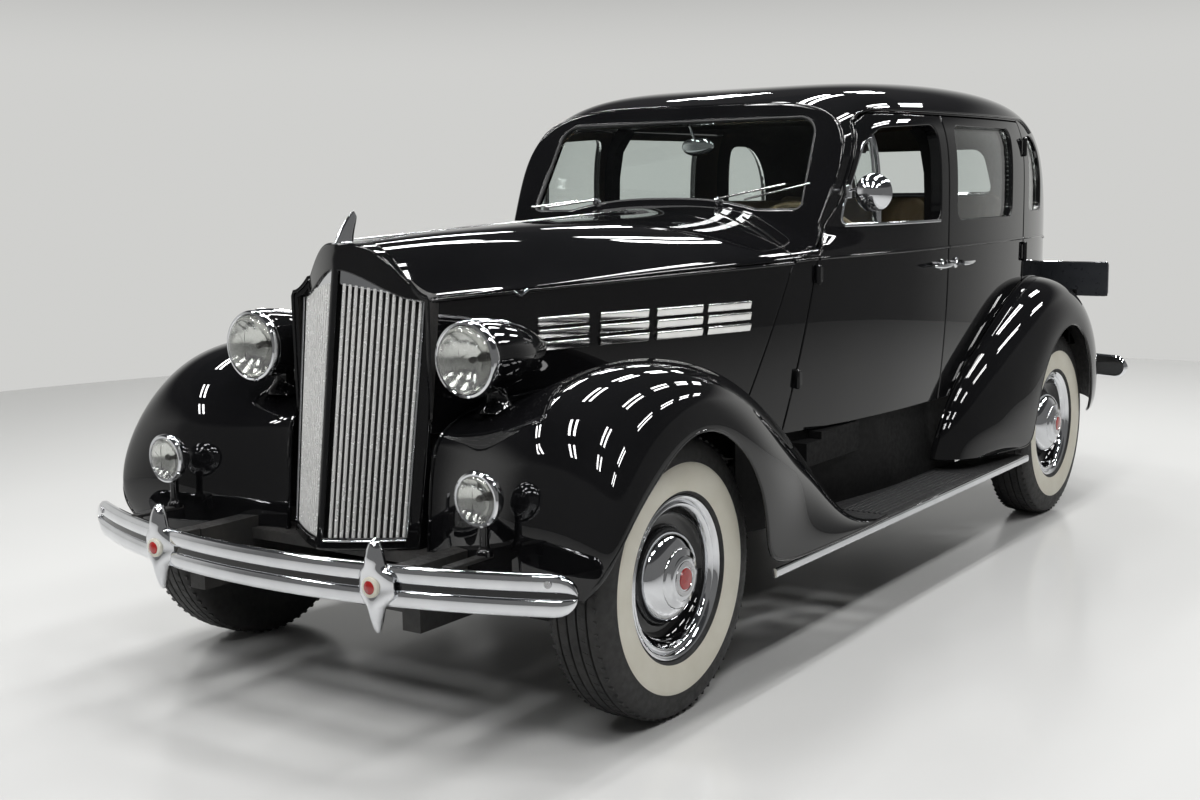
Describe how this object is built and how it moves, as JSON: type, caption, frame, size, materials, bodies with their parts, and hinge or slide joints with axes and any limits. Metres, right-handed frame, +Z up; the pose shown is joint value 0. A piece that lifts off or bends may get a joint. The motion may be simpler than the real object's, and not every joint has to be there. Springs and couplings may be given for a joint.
{
  "type": "vintage four-door sedan",
  "caption": "Late-1930s style four-door touring sedan with opening doors, butterfly hood, luggage lid, steering front wheels and turning wheels.",
  "frame": {"origin": "on the ground under the middle of the car, midway between the bumper faces", "axes": "+X forward, +Y to the left of the car, +Z up"},
  "size_m": [4.771, 1.817, 1.7414],
  "materials": {
    "body_paint": "gloss",
    "chassis_paint": "satin",
    "bare_steel": "satin",
    "tyre_rubber": "matte",
    "window_glass": "clear",
    "lens_glass": "fluted",
    "bright_chrome": "polished",
    "seat_cloth": "woven",
    "dash_paint": "satin",
    "wheel_rim_plastic": "gloss",
    "ribbed_rubber": "matte"
  },
  "bodies": {
    "car_body": {"chassis_frame": "chassis_paint", "engine_block": "chassis_paint", "prop_shaft": "chassis_paint", "rear_axle": "chassis_paint", "leaf_springs": "chassis_paint", "exhaust": "bare_steel", "fuel_tank": "chassis_paint", "front_suspension": "chassis_paint", "front_fenders": "body_paint", "rear_fenders": "body_paint", "running_boards": "ribbed_rubber", "floor_pan": "chassis_paint", "cowl": "body_paint", "windshield_frame": "body_paint", "roof": "body_paint", "side_frames": "body_paint", "quarter_panels": "body_paint", "back_panel": "body_paint", "fixed_glass": "window_glass", "hood_hinge": "bright_chrome", "hood_sides": "body_paint", "grille_shell": "body_paint", "grille_bars": "bright_chrome", "headlamps": "body_paint", "fog_lamps": "bright_chrome", "lamp_lenses": "lens_glass", "tail_lamps": "body_paint", "front_bumper": "bright_chrome", "rear_bumper": "bright_chrome", "front_seat": "seat_cloth", "rear_seat": "seat_cloth", "dashboard": "dash_paint", "steering_column": "chassis_paint"},
    "knuckle_left": {"knuckle_left": "chassis_paint"},
    "knuckle_right": {"knuckle_right": "chassis_paint"},
    "front_left_wheel": {"tyre_front_left": "tyre_rubber", "wheel_front_left": "body_paint"},
    "front_right_wheel": {"tyre_front_right": "tyre_rubber", "wheel_front_right": "body_paint"},
    "rear_left_wheel": {"tyre_rear_left": "tyre_rubber", "wheel_rear_left": "body_paint"},
    "rear_right_wheel": {"tyre_rear_right": "tyre_rubber", "wheel_rear_right": "body_paint"},
    "front_left_door": {"door_front_left": "body_paint", "glass_front_left": "window_glass"},
    "front_right_door": {"door_front_right": "body_paint", "glass_front_right": "window_glass"},
    "rear_left_door": {"door_rear_left": "body_paint", "glass_rear_left": "window_glass"},
    "rear_right_door": {"door_rear_right": "body_paint", "glass_rear_right": "window_glass"},
    "left_hood": {"hood_left": "body_paint"},
    "right_hood": {"hood_right": "body_paint"},
    "luggage_lid": {"trunk_lid": "body_paint"},
    "hand_wheel": {"steering_wheel": "wheel_rim_plastic"}
  },
  "joints": [
    {"name": "steer_left", "type": "hinge", "parent": "car_body", "child": "knuckle_left", "pos_m": [1.6855, 0.66, 0.372], "axis": [0, 0, 1], "range_deg": [-28, 28]},
    {"name": "steer_right", "type": "hinge", "parent": "car_body", "child": "knuckle_right", "pos_m": [1.6855, -0.66, 0.372], "axis": [0, 0, 1], "range_deg": [-28, 28]},
    {"name": "hand_wheel_turn", "type": "hinge", "parent": "car_body", "child": "hand_wheel", "pos_m": [0.0205, 0.36, 1.14], "axis": [-0.754, 0, 0.6569], "range_deg": [-420, 420]},
    {"name": "front_left_spin", "type": "hinge", "parent": "knuckle_left", "child": "front_left_wheel", "pos_m": [1.6855, 0.745, 0.372], "axis": [0, 1, 0], "continuous": true},
    {"name": "front_right_spin", "type": "hinge", "parent": "knuckle_right", "child": "front_right_wheel", "pos_m": [1.6855, -0.745, 0.372], "axis": [0, 1, 0], "continuous": true},
    {"name": "rear_left_spin", "type": "hinge", "parent": "car_body", "child": "rear_left_wheel", "pos_m": [-1.2355, 0.755, 0.372], "axis": [0, 1, 0], "continuous": true},
    {"name": "rear_right_spin", "type": "hinge", "parent": "car_body", "child": "rear_right_wheel", "pos_m": [-1.2355, -0.755, 0.372], "axis": [0, 1, 0], "continuous": true},
    {"name": "front_left_door_swing", "type": "hinge", "parent": "car_body", "child": "front_left_door", "pos_m": [0.6623, 0.66264, 0.76], "axis": [0.2397, 0, -0.9709], "range_deg": [0, 65]},
    {"name": "front_right_door_swing", "type": "hinge", "parent": "car_body", "child": "front_right_door", "pos_m": [0.6623, -0.66264, 0.76], "axis": [-0.2397, 0, 0.9709], "range_deg": [0, 65]},
    {"name": "rear_left_door_swing", "type": "hinge", "parent": "car_body", "child": "rear_left_door", "pos_m": [-1.1145, 0.73535, 1.1], "axis": [0, 0, 1], "range_deg": [0, 65]},
    {"name": "rear_right_door_swing", "type": "hinge", "parent": "car_body", "child": "rear_right_door", "pos_m": [-1.1145, -0.73535, 1.1], "axis": [0, 0, -1], "range_deg": [0, 65]},
    {"name": "left_hood_lift", "type": "hinge", "parent": "car_body", "child": "left_hood", "pos_m": [1.9705, 0, 1.24397], "axis": [0.9993, 0, -0.0367], "range_deg": [0, 55]},
    {"name": "right_hood_lift", "type": "hinge", "parent": "car_body", "child": "right_hood", "pos_m": [1.9705, 0, 1.24397], "axis": [-0.9993, 0, 0.0367], "range_deg": [0, 55]},
    {"name": "luggage_lid_lift", "type": "hinge", "parent": "car_body", "child": "luggage_lid", "pos_m": [-1.9905, 0, 1.187], "axis": [0, 1, 0], "range_deg": [0, 60]}
  ],
  "couplings": [
    {"joint": "steer_right", "follows": "steer_left", "ratio": 1},
    {"joint": "hand_wheel_turn", "follows": "steer_left", "ratio": 15}
  ]
}
